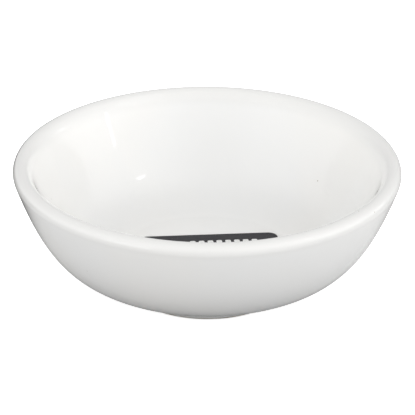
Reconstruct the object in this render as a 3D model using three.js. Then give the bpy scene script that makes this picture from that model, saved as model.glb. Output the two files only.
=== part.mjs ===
// Evaporating dish for a chemistry bench: a round porcelain bowl on a low foot ring, glazed all over
// except where the foot stands, with an adhesive label on its flat floor.
// Millimetres, +Z up, origin on the table at the centre of the foot ring.
import * as THREE from "three";

const degrees = THREE.MathUtils.degToRad;

// Driving dimensions of the dish, measured over the glaze.
const RIM_RADIUS = 50;
const HEIGHT = 35;
const GLAZE_THICKNESS = 0.3;

// The lip: a round over its crown, and a wider shoulder that eases it into the inside of the wall.
const LIP_ROUND = 2.2;
const LIP_INNER_TURN = degrees(50);
const SHOULDER_ROUND = 8;

// The wall: its slope above the horizontal where it leaves the foot, the floor and the lip, and
// how far it keeps to each slope.
const OUTER_SLOPE = degrees(71.2);
const INNER_SLOPE = degrees(67);
const HEEL_SLOPE = degrees(24.4);
const HEEL_REACH = 13.7;
const OUTER_LIP_REACH = 28;
const FLOOR_SLOPE = degrees(14);
const FLOOR_REACH = 9;
const INNER_LIP_REACH = 20;

// The flat floor inside, and the round that eases it into the wall.
const FLOOR_HEIGHT = 7.2;
const FLOOR_RADIUS = 22.9;
const FLOOR_ROUND = 8;

// The foot ring and the shallow recess inside it. The glaze stops short of the table.
const FOOT_RADIUS = 22;
const FOOT_WIDTH = 3.2;
const FOOT_HEIGHT = 2.9;
const FOOT_ROUND = 0.4;
const RECESS_HEIGHT = 2.6;
const RECESS_ROUND = 1;
const GLAZE_EDGE_HEIGHT = 0.7;

// The label: a pale backing with a dark printed face that leaves a narrow border. It is stuck on a
// little off the centre, by a shift along +X and an offset along +Y.
const LABEL_WIDTH = 38;
const LABEL_DEPTH = 21;
const LABEL_ROUND = 3;
const LABEL_BORDER = 0.5;
const LABEL_BACKING_THICKNESS = 0.15;
const LABEL_PRINT_THICKNESS = 0.1;
const LABEL_SHIFT = 1.1;
const LABEL_OFFSET = 2;
const LABEL_TURN = degrees(5.2);

// How finely curves are cut: sides around the axis, and the most turn and length of one step
// along a profile.
const SIDES = 48;
const STEP_TURN = degrees(20);
const STEP_LENGTH = 4.5;
const SAME_POINT = 1e-4;

// The point at a distance from another along a slope above the horizontal.
function along(from, slope, distance) {
  return new THREE.Vector2(
    from.x + distance * Math.cos(slope),
    from.y + distance * Math.sin(slope),
  );
}

// How many steps a curve of a profile is cut into. A straight line takes one.
function stepsOf(curve) {
  if (curve.isLineCurve) return 1;
  const turn = curve.getTangent(0).angleTo(curve.getTangent(1));
  return Math.ceil(Math.max(turn / STEP_TURN, curve.getLength() / STEP_LENGTH));
}

// The points of a profile, each of them once.
function pointsOf(path) {
  const points = path.curves.flatMap((curve) => curve.getPoints(stepsOf(curve)));
  return points.filter((point, i) => i === 0 || point.distanceTo(points[i - 1]) > SAME_POINT);
}

// A profile moved to its left by a depth. Walked with the porcelain on the left, a glazed surface
// moves to where the glaze meets the body.
function inset(profile, depth) {
  return profile.map((point, i) => {
    const before = profile[Math.max(i - 1, 0)];
    const after = profile[Math.min(i + 1, profile.length - 1)];
    const course = after.clone().sub(before).normalize();
    const x = Math.max(point.x - depth * course.y, 0);
    return new THREE.Vector2(x, point.y + depth * course.x);
  });
}

// The outer glazed surface: up the foot and the outside of the wall, over the lip, down the inside
// and across the floor to the axis. The lip's round is two arcs, so that its crown is a point.
function bowlSurface() {
  const lip = new THREE.Vector2(RIM_RADIUS - LIP_ROUND, HEIGHT - LIP_ROUND);
  const lipStart = OUTER_SLOPE - Math.PI / 2;
  const lipEnd = LIP_INNER_TURN + Math.PI / 2;
  const shoulder = along(lip, lipEnd, LIP_ROUND - SHOULDER_ROUND);
  const shoulderEnd = INNER_SLOPE + Math.PI / 2;
  const footTop = new THREE.Vector2(FOOT_RADIUS, FOOT_HEIGHT);
  const outerTop = along(lip, lipStart, LIP_ROUND);
  const innerTop = along(shoulder, shoulderEnd, SHOULDER_ROUND);
  const floorEdge = new THREE.Vector2(FLOOR_RADIUS, FLOOR_HEIGHT + FLOOR_ROUND);
  const floorStart = FLOOR_SLOPE - Math.PI / 2;
  const innerFoot = along(floorEdge, floorStart, FLOOR_ROUND);
  const path = new THREE.Path();
  path.moveTo(FOOT_RADIUS, GLAZE_EDGE_HEIGHT);
  path.lineTo(footTop.x, footTop.y);
  wall(path, footTop, HEEL_SLOPE, HEEL_REACH, outerTop, OUTER_SLOPE + Math.PI, OUTER_LIP_REACH);
  path.absarc(lip.x, lip.y, LIP_ROUND, lipStart, Math.PI / 2);
  path.absarc(lip.x, lip.y, LIP_ROUND, Math.PI / 2, lipEnd);
  path.absarc(shoulder.x, shoulder.y, SHOULDER_ROUND, lipEnd, shoulderEnd);
  wall(path, innerTop, INNER_SLOPE + Math.PI, INNER_LIP_REACH, innerFoot, FLOOR_SLOPE, FLOOR_REACH);
  path.absarc(floorEdge.x, floorEdge.y, FLOOR_ROUND, floorStart, -Math.PI / 2, true);
  path.lineTo(0, FLOOR_HEIGHT);
  return pointsOf(path);
}

// A smooth stretch of wall between two points, each with the slope it leaves at and its reach.
function wall(path, from, fromSlope, fromReach, to, toSlope, toReach) {
  const a = along(from, fromSlope, fromReach);
  const b = along(to, toSlope, toReach);
  path.bezierCurveTo(a.x, a.y, b.x, b.y, to.x, to.y);
}

// The glazed surface under the base: out from the axis across the recess and down inside the foot.
function recessSurface() {
  const radius = FOOT_RADIUS - FOOT_WIDTH;
  const round = radius - RECESS_ROUND;
  const path = new THREE.Path();
  path.moveTo(0, RECESS_HEIGHT);
  path.lineTo(round, RECESS_HEIGHT);
  path.absarc(round, RECESS_HEIGHT - RECESS_ROUND, RECESS_ROUND, Math.PI / 2, 0, true);
  path.lineTo(radius, GLAZE_EDGE_HEIGHT);
  return pointsOf(path);
}

// The bare end of the foot ring that stands on the table, from its inside to its outside.
function bareFoot() {
  const inner = FOOT_RADIUS - FOOT_WIDTH + GLAZE_THICKNESS + FOOT_ROUND;
  const outer = FOOT_RADIUS - GLAZE_THICKNESS - FOOT_ROUND;
  const path = new THREE.Path();
  path.absarc(inner, FOOT_ROUND, FOOT_ROUND, Math.PI, 1.5 * Math.PI);
  path.lineTo(outer, 0);
  path.absarc(outer, FOOT_ROUND, FOOT_ROUND, 1.5 * Math.PI, 2 * Math.PI);
  return pointsOf(path);
}

// A profile turned about the dish's axis.
function turned(profile) {
  return new THREE.LatheGeometry(profile, SIDES).rotateX(Math.PI / 2);
}

// A flat sheet with rounded corners, lying on z = 0.
function sheet(width, depth, round, thickness) {
  const x = width / 2 - round;
  const y = depth / 2 - round;
  const outline = new THREE.Shape();
  outline.absarc(x, y, round, 0, Math.PI / 2);
  outline.absarc(-x, y, round, Math.PI / 2, Math.PI);
  outline.absarc(-x, -y, round, Math.PI, 1.5 * Math.PI);
  outline.absarc(x, -y, round, 1.5 * Math.PI, 2 * Math.PI);
  return new THREE.ExtrudeGeometry(outline, {
    depth: thickness,
    bevelEnabled: false,
    curveSegments: 6,
  });
}

function named(name, geometry, material) {
  const mesh = new THREE.Mesh(geometry, material);
  mesh.name = name;
  return mesh;
}

// The fired porcelain: one body with its foot ring, bare only on the end of the foot.
function porcelainBody(bowl, recess) {
  const profile = [
    ...inset(recess, GLAZE_THICKNESS),
    ...bareFoot(),
    ...inset(bowl, GLAZE_THICKNESS),
  ];
  const biscuit = new THREE.MeshStandardMaterial({
    color: 0xe6e1d6,
    roughness: 0.85,
    metalness: 0,
  });
  return named("porcelain_body", turned(profile), biscuit);
}

const glaze = () =>
  new THREE.MeshStandardMaterial({ color: 0xf1f0ec, roughness: 0.08, metalness: 0 });

// The glaze over the foot's outside, the wall, the lip and the floor, as one fused skin.
function glazeCoat(bowl) {
  const profile = [...inset(bowl, GLAZE_THICKNESS).reverse(), ...bowl];
  return named("glaze_coat", turned(profile), glaze());
}

// The patch of glaze under the base, inside the foot ring.
function baseGlaze(recess) {
  const profile = [...recess, ...inset(recess, GLAZE_THICKNESS).reverse()];
  return named("base_glaze", turned(profile), glaze());
}

// The two layers of the label, stuck flat on the floor and turned a little.
function label() {
  const paper = new THREE.MeshStandardMaterial({
    color: 0xeeeeea,
    roughness: 0.6,
    metalness: 0,
  });
  const ink = new THREE.MeshStandardMaterial({
    color: 0x464549,
    roughness: 0.45,
    metalness: 0,
  });
  const backing = named(
    "label_backing",
    sheet(LABEL_WIDTH, LABEL_DEPTH, LABEL_ROUND, LABEL_BACKING_THICKNESS),
    paper,
  );
  const face = named(
    "label_print",
    sheet(
      LABEL_WIDTH - 2 * LABEL_BORDER,
      LABEL_DEPTH - 2 * LABEL_BORDER,
      LABEL_ROUND - LABEL_BORDER,
      LABEL_PRINT_THICKNESS,
    ),
    ink,
  );
  face.position.z = LABEL_BACKING_THICKNESS;
  const layers = new THREE.Group();
  layers.add(backing, face);
  layers.rotation.z = LABEL_TURN;
  layers.position.set(LABEL_SHIFT, LABEL_OFFSET, FLOOR_HEIGHT);
  return layers;
}

function evaporatingDish() {
  const bowl = bowlSurface();
  const recess = recessSurface();
  const dish = new THREE.Group();
  dish.add(porcelainBody(bowl, recess), glazeCoat(bowl), baseGlaze(recess), label());
  return dish;
}

export default evaporatingDish();
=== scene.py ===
"""An evaporating dish: glazed porcelain on a bare foot ring, with a printed label on its floor.

The glaze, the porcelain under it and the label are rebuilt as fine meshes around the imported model.
Lengths are metres, angles radians, +Z up, and the origin is on the table under the dish's axis.
"""

import math

import bmesh
import bpy
from mathutils import Matrix, Vector


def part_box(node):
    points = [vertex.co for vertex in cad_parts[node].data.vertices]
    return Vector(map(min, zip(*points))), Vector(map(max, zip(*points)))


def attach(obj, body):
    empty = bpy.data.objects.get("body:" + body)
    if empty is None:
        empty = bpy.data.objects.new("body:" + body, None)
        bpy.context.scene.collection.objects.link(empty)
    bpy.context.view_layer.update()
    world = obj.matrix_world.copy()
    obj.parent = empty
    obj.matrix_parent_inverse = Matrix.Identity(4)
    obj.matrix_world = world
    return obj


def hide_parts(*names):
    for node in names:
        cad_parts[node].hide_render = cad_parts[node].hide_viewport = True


MM = 0.001

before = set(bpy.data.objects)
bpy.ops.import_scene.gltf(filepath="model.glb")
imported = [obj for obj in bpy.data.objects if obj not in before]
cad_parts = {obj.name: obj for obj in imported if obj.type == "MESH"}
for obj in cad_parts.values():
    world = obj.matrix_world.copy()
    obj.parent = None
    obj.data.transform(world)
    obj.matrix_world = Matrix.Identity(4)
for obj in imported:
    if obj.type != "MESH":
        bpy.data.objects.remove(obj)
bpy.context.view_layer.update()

# ---------------------------------------------------------------- sizes

GLAZE_LOW, GLAZE_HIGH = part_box("glaze_coat")
BODY_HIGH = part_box("porcelain_body")[1]
BASE_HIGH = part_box("base_glaze")[1]
BACKING_LOW, BACKING_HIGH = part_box("label_backing")
PRINT_LOW, PRINT_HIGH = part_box("label_print")

RIM_RADIUS = 50 * MM
HEIGHT = GLAZE_HIGH.z
GLAZE_THICKNESS = GLAZE_HIGH.z - BODY_HIGH.z
GLAZE_EDGE_HEIGHT = GLAZE_LOW.z
FLOOR_HEIGHT = BACKING_LOW.z
RECESS_HEIGHT = BASE_HIGH.z - GLAZE_THICKNESS

LIP_ROUND = 2.2 * MM
LIP_INNER_TURN = math.radians(50)
SHOULDER_ROUND = 8 * MM
OUTER_SLOPE = math.radians(71.2)
INNER_SLOPE = math.radians(67)
HEEL_SLOPE = math.radians(24.4)
HEEL_REACH = 13.7 * MM
OUTER_LIP_REACH = 28 * MM
FLOOR_SLOPE = math.radians(14)
FLOOR_REACH = 9 * MM
INNER_LIP_REACH = 20 * MM
FLOOR_RADIUS = 22.9 * MM
FLOOR_ROUND = 8 * MM
FOOT_RADIUS = 22 * MM
FOOT_WIDTH = 3.2 * MM
FOOT_HEIGHT = 2.9 * MM
FOOT_ROUND = 0.4 * MM
HEEL_FILLET = 0.9 * MM
RECESS_ROUND = 1 * MM

LABEL_WIDTH = 38 * MM
LABEL_DEPTH = 21 * MM
LABEL_ROUND = 3 * MM
LABEL_BORDER = 0.5 * MM
LABEL_TURN = math.radians(5.2)
LABEL_CENTRE = (BACKING_LOW + BACKING_HIGH) / 2

# The row of plain blocks printed across the label, measured from its centre.
MARK_PITCH = 2.35 * MM
MARK_WIDTH = 1.5 * MM
MARK_HEIGHT = 3 * MM
MARK_ROUND = 0.45 * MM
MARK_THICKNESS = 0.02 * MM
MARK_ROW = 6.4 * MM
MARK_START = -4.3 * MM
MARK_COUNT = 8
SHORT_MARK_START = -9 * MM

# How far the fired bowl strays from a true round at its lip, and where around it each sway is most.
OVAL = 0.12 * MM
OVAL_PHASE = 0.6
LOBED = 0.06 * MM
LOBED_PHASE = 2.1
RIM_DIP = 0.1 * MM
DIP_PHASE = -1.3

# How finely curves are cut.
SIDES = 240
CURVE_STEPS = 48
ARC_STEPS = 14
FLAT_STEPS = 8
CORNER_STEPS = 10
SAME_POINT = 1e-7


# ---------------------------------------------------------------- meshes

def along(start, slope, distance):
    """The point at a distance from start along a slope above the horizontal, in (r, z)."""
    return start + distance * Vector((math.cos(slope), math.sin(slope)))


def arc(centre, radius, first, last, steps=ARC_STEPS):
    """Points of a circular arc in the (r, z) plane, both ends among them."""
    turns = (first + (last - first) * i / steps for i in range(steps + 1))
    return [along(centre, turn, radius) for turn in turns]


def bezier(a, b, c, d, steps=CURVE_STEPS):
    """Points of a cubic curve from a to d, both ends among them."""
    points = []
    for i in range(steps + 1):
        t = i / steps
        u = 1 - t
        points.append(a * u**3 + b * (3 * u * u * t) + c * (3 * u * t * t) + d * t**3)
    return points


def once(points):
    """The points without those that repeat the one before."""
    kept = points[:1]
    for point in points[1:]:
        if (point - kept[-1]).length > SAME_POINT:
            kept.append(point)
    return kept


def inset(profile, depth):
    """A profile moved to its left by a depth, where the glaze meets the porcelain."""
    moved = []
    for i, point in enumerate(profile):
        course = profile[min(i + 1, len(profile) - 1)] - profile[max(i - 1, 0)]
        course.normalize()
        moved.append(Vector((max(point.x - depth * course.y, 0), point.y + depth * course.x)))
    return moved


def bowl_surface():
    """The glazed surface: from its edge on the foot up the outside, over the lip, to the axis."""
    lip = Vector((RIM_RADIUS - LIP_ROUND, HEIGHT - LIP_ROUND))
    right = math.pi / 2
    shoulder = along(lip, LIP_INNER_TURN + right, LIP_ROUND - SHOULDER_ROUND)
    foot_top = Vector((FOOT_RADIUS, FOOT_HEIGHT))
    outer_top = along(lip, OUTER_SLOPE - right, LIP_ROUND)
    inner_top = along(shoulder, INNER_SLOPE + right, SHOULDER_ROUND)
    floor_edge = Vector((FLOOR_RADIUS, FLOOR_HEIGHT + FLOOR_ROUND))
    inner_foot = along(floor_edge, FLOOR_SLOPE - right, FLOOR_ROUND)
    points = [Vector((FOOT_RADIUS, GLAZE_EDGE_HEIGHT))]
    points += heel_fillet(foot_top)
    points += bezier(points[-1], along(foot_top, HEEL_SLOPE, HEEL_REACH),
                     along(outer_top, OUTER_SLOPE, -OUTER_LIP_REACH), outer_top)
    points += arc(lip, LIP_ROUND, OUTER_SLOPE - right, right)
    points += arc(lip, LIP_ROUND, right, LIP_INNER_TURN + right)
    points += arc(shoulder, SHOULDER_ROUND, LIP_INNER_TURN + right, INNER_SLOPE + right)
    points += bezier(inner_top, along(inner_top, INNER_SLOPE, -INNER_LIP_REACH),
                     along(inner_foot, FLOOR_SLOPE, FLOOR_REACH), inner_foot)
    points += arc(floor_edge, FLOOR_ROUND, FLOOR_SLOPE - right, -right)
    points += flat(FLOOR_RADIUS, 0, FLOOR_HEIGHT)
    return once(points)


def heel_fillet(corner):
    """The small round where the glaze pools in the corner between the foot and the wall."""
    turn = math.pi / 2 - HEEL_SLOPE
    centre = corner + HEEL_FILLET * Vector((1, -math.tan(turn / 2)))
    return arc(centre, HEEL_FILLET, math.pi, math.pi - turn)


def flat(start, end, z):
    """Points along a level line of the profile, from one radius to another."""
    return [Vector((start + (end - start) * i / FLAT_STEPS, z)) for i in range(FLAT_STEPS + 1)]


def recess_surface():
    """The glazed surface under the base, from the axis out and down inside the foot."""
    radius = FOOT_RADIUS - FOOT_WIDTH
    centre = Vector((radius - RECESS_ROUND, RECESS_HEIGHT - RECESS_ROUND))
    points = flat(0, centre.x, RECESS_HEIGHT)
    points += arc(centre, RECESS_ROUND, math.pi / 2, 0)
    points.append(Vector((radius, GLAZE_EDGE_HEIGHT)))
    return once(points)


def bare_foot():
    """The unglazed end of the foot ring, from its inside to its outside."""
    inner = FOOT_RADIUS - FOOT_WIDTH + GLAZE_THICKNESS + FOOT_ROUND
    outer = FOOT_RADIUS - GLAZE_THICKNESS - FOOT_ROUND
    points = arc(Vector((inner, FOOT_ROUND)), FOOT_ROUND, math.pi, 1.5 * math.pi)
    points += arc(Vector((outer, FOOT_ROUND)), FOOT_ROUND, 1.5 * math.pi, 2 * math.pi)
    return once(points)


def glaze_layer(surface, edge_first):
    """The closed section of a glaze layer under a surface, with its free edge rolled round."""
    under = list(reversed(inset(surface, GLAZE_THICKNESS)))
    edge = surface[0] if edge_first else surface[-1]
    roll = GLAZE_THICKNESS / 2
    if edge_first:
        bead = arc(edge + Vector((-roll, 0)), roll, -math.pi, 0)
        return once(under + bead + surface)
    bead = arc(edge + Vector((roll, 0)), roll, -math.pi, 0)
    return once(surface + bead + under)


def uneven(point):
    """Where a point of the true round bowl sits on the fired one, which strays in at the lip."""
    rise = min(max((point.z - FLOOR_HEIGHT - MM) / (HEIGHT - FLOOR_HEIGHT - MM), 0), 1)
    fade = rise * rise * (3 - 2 * rise)
    turn = math.atan2(point.y, point.x)
    oval = OVAL * (math.cos(2 * turn + OVAL_PHASE) - 1)
    lobed = LOBED * (math.cos(3 * turn + LOBED_PHASE) - 1)
    dip = RIM_DIP * (math.cos(2 * turn + DIP_PHASE) - 1) / 2
    spread = 1 + fade * (oval + lobed) / RIM_RADIUS
    return Vector((point.x * spread, point.y * spread, point.z + fade * dip))


def new_object(name, mesh):
    obj = bpy.data.objects.new(name, mesh)
    bpy.context.scene.collection.objects.link(obj)
    return obj


def ring(bm, r, z):
    """The vertices of one point of a profile turned about the axis: a single one on the axis."""
    if r < SAME_POINT:
        return [bm.verts.new((0, 0, z))] * SIDES
    angles = (2 * math.pi * i / SIDES for i in range(SIDES))
    return [bm.verts.new(uneven(Vector((r * math.cos(a), r * math.sin(a), z)))) for a in angles]


def turned(name, profile):
    """A closed solid of revolution, with its profile's ends on the axis."""
    bm = bmesh.new()
    rings = [ring(bm, r, z) for r, z in profile]
    for low, high in zip(rings, rings[1:]):
        for i in range(SIDES):
            corners = (low[i - 1], low[i], high[i], high[i - 1])
            bm.faces.new(dict.fromkeys(corners))
    return finished(name, bm)


def finished(name, bm, smooth=True):
    """The mesh of bm as an object of the scene."""
    bmesh.ops.recalc_face_normals(bm, faces=bm.faces)
    mesh = bpy.data.meshes.new(name)
    bm.to_mesh(mesh)
    bm.free()
    for polygon in mesh.polygons:
        polygon.use_smooth = smooth
    return new_object(name, mesh)


def rounded_outline(width, depth, corner):
    """The points of a rectangle about the origin with rounded corners, counter-clockwise."""
    x = width / 2 - corner
    y = depth / 2 - corner
    right = math.pi / 2
    points = []
    for k, (side, end) in enumerate(((1, 1), (-1, 1), (-1, -1), (1, -1))):
        centre = Vector((side * x, end * y))
        points += arc(centre, corner, k * right, (k + 1) * right, CORNER_STEPS)
    return once(points)


def sheet(name, outlines, bottom, top):
    """Flat plates between two heights. Each is an outline about the origin and a matrix for it."""
    bm = bmesh.new()
    for outline, place in outlines:
        low = [bm.verts.new(place @ Vector((p.x, p.y, bottom))) for p in outline]
        high = [bm.verts.new(place @ Vector((p.x, p.y, top))) for p in outline]
        bm.faces.new(reversed(low))
        bm.faces.new(high)
        for i in range(len(outline)):
            bm.faces.new((low[i - 1], low[i], high[i], high[i - 1]))
    return finished(name, bm, smooth=False)


# ---------------------------------------------------------------- materials

class Shading:
    """A material or world being built: its node tree, and short ways to add nodes to it."""

    def __init__(self, owner):
        owner.use_nodes = True
        self.owner = owner
        self.nodes = owner.node_tree.nodes
        self.links = owner.node_tree.links

    def add(self, kind, inputs=None, **settings):
        """A new node with its settings. An input is a value, or another node's output to link."""
        node = self.nodes.new("ShaderNode" + kind)
        for name, value in settings.items():
            setattr(node, name, value)
        for name, value in (inputs or {}).items():
            self.feed(node.inputs[name], value)
        return node

    def feed(self, socket, value):
        if isinstance(value, bpy.types.NodeSocket):
            self.links.new(value, socket)
        else:
            socket.default_value = value

    def math(self, operation, a, b):
        return self.add("Math", {0: a, 1: b}, operation=operation).outputs[0]

    def noise(self, place, scale, detail=2.0):
        """A noise between 0 and 1 over a place, with about one lump in 1/scale metres."""
        node = self.add("TexNoise", {"Vector": place, "Scale": scale, "Detail": detail})
        return node.outputs["Fac"]

    def between(self, value, low, high, to_low=0.0, to_high=1.0):
        """A value eased from one range to another, and held at the ends."""
        node = self.add("MapRange", {"Value": value, "From Min": low, "From Max": high,
                                     "To Min": to_low, "To Max": to_high},
                        interpolation_type="SMOOTHSTEP")
        return node.outputs["Result"]

    def blend(self, factor, first, second):
        """A colour between two: each is an RGB triple or another node's output."""
        node = self.add("Mix", data_type="RGBA")
        self.feed(node.inputs[0], factor)
        for socket, colour in ((node.inputs[6], first), (node.inputs[7], second)):
            self.feed(socket, (*colour, 1) if isinstance(colour, tuple) else colour)
        return node.outputs[2]

    def place(self):
        """Where a point is on the object, in metres."""
        return self.add("TexCoord").outputs["Object"]

    def stretched(self, place, by):
        node = self.add("VectorMath", {0: place, 1: by}, operation="MULTIPLY")
        return node.outputs["Vector"]

    def specks(self, place, scale, radius, share):
        """A mask of round specks of a radius in metres, in a share of the cells 1/scale across."""
        cells = self.add("TexVoronoi", {"Vector": place, "Scale": scale})
        chance = self.add("SeparateColor", {"Color": cells.outputs["Color"]}).outputs[0]
        near = self.math("LESS_THAN", cells.outputs["Distance"], radius * scale)
        return self.math("MULTIPLY", near, self.math("LESS_THAN", chance, share))

    def bump(self, height, distance):
        """A normal for a height between 0 and 1 that stands up by a distance in metres."""
        return self.add("Bump", {"Height": height, "Distance": distance}).outputs["Normal"]

    def surface(self, **inputs):
        """Sets the sockets of the material's own shader, spaces in their names as underscores."""
        for name, value in inputs.items():
            self.feed(self.nodes["Principled BSDF"].inputs[name.replace("_", " ")], value)


GLAZE_WARM = (0.9, 0.893, 0.872)
GLAZE_COOL = (0.893, 0.894, 0.885)
# The lip's colour is darker towards its crown: partly thin glaze over the body, partly painted shade
# on the upward-facing lip.
GLAZE_LIP_THIN_AND_SHADE = (0.83, 0.826, 0.81)
GLAZE_SPECK = (0.4, 0.35, 0.28)
GLAZE_ROUGHNESS = 0.28
COAT_ROUGHNESS = 0.03
CLOUD_SCALE = 26
CLOUD_EDGES = (0.35, 0.65)
LIP_THIN_AND_SHADE_FROM = HEIGHT - 4.5 * MM
LIP_THIN_AND_SHADE_TO = HEIGHT - 0.8 * MM
SPECK_SCALE = 170
SPECK_RADIUS = 0.16 * MM
SPECK_SHARE = 0.35
RIPPLE_SCALE = 60
RIPPLE_HEIGHT = 0.012 * MM
PEEL_SCALE = 600
PEEL_HEIGHT = 0.0005 * MM


def glaze_material():
    """White feldspathic glaze: clear and glossy, with a few iron specks, and greyer towards the
    crown of the lip, partly where the glaze runs thin and partly as painted shade.
    """
    mat = Shading(bpy.data.materials.new("porcelain_glaze"))
    place = mat.place()
    clouds = mat.between(mat.noise(place, CLOUD_SCALE, 3), *CLOUD_EDGES)
    height = mat.add("SeparateXYZ", {0: place}).outputs["Z"]
    # Darker towards the lip's crown: partly thin glaze, partly painted shade.
    lip_thin_and_shade = mat.between(height, LIP_THIN_AND_SHADE_FROM, LIP_THIN_AND_SHADE_TO)
    specks = mat.specks(place, SPECK_SCALE, SPECK_RADIUS, SPECK_SHARE)
    colour = mat.blend(clouds, GLAZE_WARM, GLAZE_COOL)
    colour = mat.blend(lip_thin_and_shade, colour, GLAZE_LIP_THIN_AND_SHADE)
    colour = mat.blend(specks, colour, GLAZE_SPECK)
    ripple = mat.bump(mat.noise(place, RIPPLE_SCALE, 0), RIPPLE_HEIGHT)
    peel = mat.add("Bump", {"Height": mat.noise(place, PEEL_SCALE, 0), "Distance": PEEL_HEIGHT,
                            "Normal": ripple}).outputs["Normal"]
    mat.surface(Base_Color=colour, Roughness=GLAZE_ROUGHNESS, Normal=peel, Coat_Weight=1.0,
                Coat_Roughness=COAT_ROUGHNESS, Coat_IOR=1.5, Coat_Normal=peel)
    return mat.owner


BISQUE_PALE = (0.8, 0.775, 0.72)
BISQUE_DARK = (0.68, 0.63, 0.55)
BISQUE_SOIL = (0.42, 0.39, 0.35)
BISQUE_ROUGHNESS = (0.78, 0.95)
MATT_SPECULAR = 0.24
MOTTLE_EDGES = (0.3, 0.7)
BISQUE_MOTTLE_SCALE = 120
RUB_SCALE = 420
RUB_EDGES = (0.56, 0.75)
RUB_MOST = 0.7
GRAIN_SCALE = 2600
GRAIN_HEIGHT = 0.03 * MM
GRIT_SCALE = 900
GRIT_RADIUS = 0.1 * MM
GRIT_SHARE = 0.4


def bisque_material():
    """Bare fired porcelain where the foot stands: matt, grainy, and a little soiled by use."""
    mat = Shading(bpy.data.materials.new("bisque"))
    place = mat.place()
    grain = mat.noise(place, GRAIN_SCALE, 3)
    mottle = mat.between(mat.noise(place, BISQUE_MOTTLE_SCALE, 4), *MOTTLE_EDGES)
    rubbed = mat.between(mat.noise(place, RUB_SCALE, 5), *RUB_EDGES, 0, RUB_MOST)
    grit = mat.specks(place, GRIT_SCALE, GRIT_RADIUS, GRIT_SHARE)
    colour = mat.blend(mottle, BISQUE_PALE, BISQUE_DARK)
    colour = mat.blend(rubbed, colour, BISQUE_SOIL)
    colour = mat.blend(grit, colour, BISQUE_SOIL)
    mat.surface(Base_Color=colour, Specular_IOR_Level=MATT_SPECULAR,
                Roughness=mat.between(grain, *MOTTLE_EDGES, *BISQUE_ROUGHNESS),
                Normal=mat.bump(grain, GRAIN_HEIGHT))
    return mat.owner


PAPER_WHITE = (0.84, 0.84, 0.83)
PAPER_GREY = (0.76, 0.76, 0.745)
PAPER_ROUGHNESS = (0.45, 0.6)
FIBRE_STRETCH = (1, 3.5, 1)
FIBRE_SCALE = 900
FIBRE_HEIGHT = 0.008 * MM


def paper_material():
    """Coated label stock: near white, with a fine fibre."""
    mat = Shading(bpy.data.materials.new("label_stock"))
    place = mat.place()
    fibre = mat.noise(mat.stretched(place, FIBRE_STRETCH), FIBRE_SCALE, 4)
    colour = mat.blend(mat.between(fibre, *MOTTLE_EDGES), PAPER_WHITE, PAPER_GREY)
    mat.surface(Base_Color=colour, Normal=mat.bump(fibre, FIBRE_HEIGHT),
                Roughness=mat.between(fibre, *MOTTLE_EDGES, *PAPER_ROUGHNESS))
    return mat.owner


INK_BLACK = (0.022, 0.021, 0.025)
INK_WORN = (0.042, 0.041, 0.046)
INK_GAP = (0.3, 0.3, 0.3)
INK_ROUGHNESS = (0.42, 0.58)
INK_MOTTLE_SCALE = 500
INK_BUMP_SCALE = 1800
INK_BUMP_HEIGHT = 0.004 * MM
PINHOLE_SCALE = 1400
PINHOLE_RADIUS = 0.06 * MM
PINHOLE_SHARE = 0.12


def ink_material():
    """Dark printing ink: slightly mottled, with a few pinholes where the paper shows."""
    mat = Shading(bpy.data.materials.new("label_ink_black"))
    place = mat.place()
    mottle = mat.between(mat.noise(place, INK_MOTTLE_SCALE, 4), *MOTTLE_EDGES)
    pinholes = mat.specks(place, PINHOLE_SCALE, PINHOLE_RADIUS, PINHOLE_SHARE)
    colour = mat.blend(mottle, INK_BLACK, INK_WORN)
    colour = mat.blend(pinholes, colour, INK_GAP)
    mat.surface(Base_Color=colour, Roughness=mat.between(mottle, 0, 1, *INK_ROUGHNESS),
                Normal=mat.bump(mat.noise(place, INK_BUMP_SCALE), INK_BUMP_HEIGHT),
                Specular_IOR_Level=MATT_SPECULAR)
    return mat.owner


# ---------------------------------------------------------------- the dish

def show(piece, node, mat):
    """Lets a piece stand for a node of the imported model."""
    piece.data.materials.append(mat)
    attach(piece, "root")
    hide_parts(node)


def make_porcelain():
    bowl = bowl_surface()
    recess = recess_surface()
    clay = inset(recess, GLAZE_THICKNESS) + bare_foot() + inset(bowl, GLAZE_THICKNESS)
    glaze = glaze_material()
    show(turned("bisque_body", once(clay)), "porcelain_body", bisque_material())
    show(turned("glaze_skin", glaze_layer(bowl, True)), "glaze_coat", glaze)
    show(turned("base_glaze_patch", glaze_layer(recess, False)), "base_glaze", glaze)


def mark_places():
    """Where the printed blocks are along the label: one short one, a gap, and then a row."""
    row = [MARK_START + i * MARK_PITCH for i in range(MARK_COUNT)]
    return [(SHORT_MARK_START, MARK_HEIGHT / 2)] + [(x, MARK_HEIGHT) for x in row]


def make_label():
    turn = Matrix.Rotation(LABEL_TURN, 4, "Z")
    place = Matrix.Translation((LABEL_CENTRE.x, LABEL_CENTRE.y, 0)) @ turn
    stock = rounded_outline(LABEL_WIDTH, LABEL_DEPTH, LABEL_ROUND)
    printed = rounded_outline(LABEL_WIDTH - 2 * LABEL_BORDER, LABEL_DEPTH - 2 * LABEL_BORDER,
                              LABEL_ROUND - LABEL_BORDER)
    paper = paper_material()
    backing = sheet("label_paper", [(stock, place)], BACKING_LOW.z, BACKING_HIGH.z)
    show(backing, "label_backing", paper)
    face = sheet("label_face", [(printed, place)], PRINT_LOW.z, PRINT_HIGH.z)
    show(face, "label_print", ink_material())
    blocks = []
    for x, height in mark_places():
        outline = rounded_outline(MARK_WIDTH, height, MARK_ROUND)
        blocks.append((outline, place @ Matrix.Translation((x, MARK_ROW - height / 2, 0))))
    marks = sheet("label_marks", blocks, PRINT_HIGH.z, PRINT_HIGH.z + MARK_THICKNESS)
    marks.data.materials.append(paper)
    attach(marks, "root")


# ---------------------------------------------------------------- studio

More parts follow.
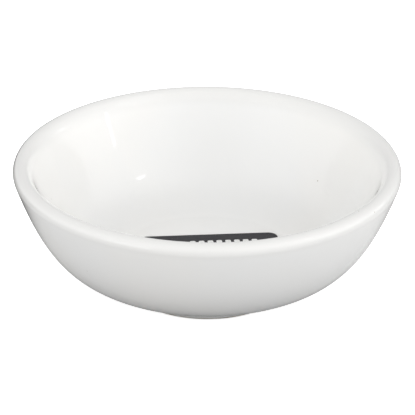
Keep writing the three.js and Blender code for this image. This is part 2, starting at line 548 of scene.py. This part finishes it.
def towards(azimuth, rise):
    """A direction: azimuth 0 is in front of the dish and turns towards +X, rise is upwards."""
    a = math.radians(azimuth)
    e = math.radians(rise)
    return Vector((math.sin(a) * math.cos(e), -math.cos(a) * math.cos(e), math.sin(e)))


def aim(obj, place, target, roll=0.0):
    """Puts obj at place with its -Z axis towards target, turned about that axis by roll."""
    turn = (target - place).to_track_quat("-Z", "Y").to_matrix().to_4x4()
    obj.matrix_world = Matrix.Translation(place) @ turn @ Matrix.Rotation(roll, 4, "Z")


CAMERA_DISTANCE = 0.6
CAMERA_RISE = 24.85
CAMERA_ROLL = math.radians(0.38)
CAMERA_LENS = 202.4
CAMERA_AIM_DROP = 1.176
CAMERA_AIM_LEFT = 0.014


def make_camera():
    """A long lens a little above the rim, aimed so that the dish sits just above the middle."""
    data = bpy.data.cameras.new("camera")
    data.lens = CAMERA_LENS
    data.sensor_width = 36
    data.clip_start = 0.01
    data.clip_end = 20
    camera = new_object("camera", data)
    place = Vector((0, 0, HEIGHT)) + CAMERA_DISTANCE * towards(0, CAMERA_RISE)
    view = -towards(-CAMERA_AIM_LEFT, CAMERA_RISE + CAMERA_AIM_DROP)
    aim(camera, place, place + view, CAMERA_ROLL)
    bpy.context.scene.camera = camera


SOFTBOXES = (  # name, azimuth, rise, distance, width, height, power
    ("window", 112, 14, 0.9, 0.16, 0.05, 0.05),
    ("front_left", -43, 12, 1.0, 0.45, 0.18, 0.36),
    ("lamp_low", 72, 16, 1.0, 0.04, 0.1, 0.05),
    ("lamp_high", 64, 39, 1.0, 0.12, 0.05, 0.07),
)


def softbox(name, azimuth, rise, distance, width, height, power):
    """A rectangular light that faces the dish."""
    data = bpy.data.lights.new(name, "AREA")
    data.shape = "RECTANGLE"
    data.size = width
    data.size_y = height
    data.energy = power
    light = new_object(name, data)
    target = Vector((0, 0, HEIGHT / 2))
    aim(light, target + distance * towards(azimuth, rise), target)


FLOOR_SIZE = 6
FLOOR_DROP = 0.02 * MM
FLOOR_WHITE = (0.9, 0.9, 0.9, 1)
FLOOR_GLOW = 0.75
# The floor's bounce is painted shade: greyer under the dish and a little in front of it.
FLOOR_BOUNCE = (0.07, 0.95)  # under the dish, and beyond it
FLOOR_PAINTED_SHADE_REACH = (0.024, 0.09)
FLOOR_FRONT_SHARE = 0.73
FLOOR_FRONT_REACH = 0.06
# The mirrored floor is painted light and shade: brighter at the right, darker at the left and behind
# the dish.
MIRRORED_NEAR = (0.62, 0.85)  # at the left, and at the right
MIRRORED_BEHIND_SHADE = (0.06, 0.55)
MIRRORED_REACH = 0.08


def bounced_floor(mat, place):
    """What the floor bounces onto the dish, with painted shade: greyer under the dish, and a little
    so in front.
    """
    distance = mat.add("VectorMath", {0: place}, operation="LENGTH").outputs["Value"]
    depth = mat.add("SeparateXYZ", {0: place}).outputs["Y"]
    bounce = mat.between(distance, *FLOOR_PAINTED_SHADE_REACH, *FLOOR_BOUNCE)
    front = mat.between(depth, -FLOOR_FRONT_REACH, 0, FLOOR_FRONT_SHARE, 1.0)
    grey = mat.math("MULTIPLY", bounce, front)
    return mat.add("BsdfDiffuse", {"Color": grey}).outputs["BSDF"]


def mirrored_floor(mat, place):
    """What the glaze mirrors of the floor, as painted light and shade: darker behind the dish, and
    at its left.
    """
    width, depth = mat.add("SeparateXYZ", {0: place}).outputs[:2]
    near = mat.between(width, -MIRRORED_REACH, MIRRORED_REACH, *MIRRORED_NEAR)
    behind = mat.between(width, -MIRRORED_REACH, MIRRORED_REACH, *MIRRORED_BEHIND_SHADE)
    grey = mat.blend(mat.between(depth, 0, MIRRORED_REACH / 2), near, behind)
    return mat.add("BsdfDiffuse", {"Color": grey}).outputs["BSDF"]


def make_floor():
    """A pale sweep: white with a faint shadow to the camera, and greyer, with painted light and
    shade, as the dish sees it.
    """
    bm = bmesh.new()
    bmesh.ops.create_grid(bm, x_segments=1, y_segments=1, size=FLOOR_SIZE / 2)
    floor = finished("floor", bm)
    floor.location.z = -FLOOR_DROP
    mat = Shading(bpy.data.materials.new("floor_sweep"))
    mat.surface(Base_Color=FLOOR_WHITE, Roughness=0.95, Specular_IOR_Level=0,
                Emission_Color=(1, 1, 1, 1), Emission_Strength=FLOOR_GLOW)
    seen = mat.nodes["Principled BSDF"].outputs["BSDF"]
    place = mat.place()
    path = mat.add("LightPath")
    unseen = mat.add("MixShader", {0: path.outputs["Is Glossy Ray"], 1: bounced_floor(mat, place),
                                   2: mirrored_floor(mat, place)})
    mix = mat.add("MixShader", {0: path.outputs["Is Camera Ray"], 1: unseen.outputs[0], 2: seen})
    mat.feed(mat.nodes["Material Output"].inputs["Surface"], mix.outputs[0])
    floor.data.materials.append(mat.owner)


TENT = 0.64
SOFT_LIGHTS = (  # azimuth, rise, strength
    (45, 35, 0.95),
    (90, 5, 1.15),
    (315, 35, 0.68),
    (270, 5, 0.75),
)
SOFT_LIGHT_SPREAD = 6


def make_world():
    """A tent of light with a few broad soft lights in it, and plain white to the camera."""
    world = bpy.data.worlds.new("studio")
    bpy.context.scene.world = world
    tent = Shading(world)
    strength = TENT
    direction = tent.add("TexCoord").outputs["Generated"]
    for azimuth, rise, power in SOFT_LIGHTS:
        facing = tent.add("VectorMath", {0: direction, 1: towards(azimuth, rise)},
                          operation="DOT_PRODUCT").outputs["Value"]
        lobe = tent.math("POWER", tent.math("MAXIMUM", facing, 0.0), SOFT_LIGHT_SPREAD)
        strength = tent.add("Math", {0: lobe, 1: power, 2: strength},
                            operation="MULTIPLY_ADD").outputs[0]
    light = tent.nodes["Background"]
    tent.feed(light.inputs["Color"], (1, 1, 1, 1))
    tent.feed(light.inputs["Strength"], strength)
    backdrop = tent.add("Background", {"Color": (1, 1, 1, 1)})
    mix = tent.add("MixShader", {0: tent.add("LightPath").outputs["Is Camera Ray"],
                                 1: light.outputs[0], 2: backdrop.outputs[0]})
    tent.feed(tent.nodes["World Output"].inputs["Surface"], mix.outputs[0])


make_camera()
make_porcelain()
make_label()
make_floor()
make_world()
for box in SOFTBOXES:
    softbox(*box)
bpy.context.scene.view_settings.view_transform = "Standard"


def corners(box):
    return [[float(value) for value in corner] for corner in box]
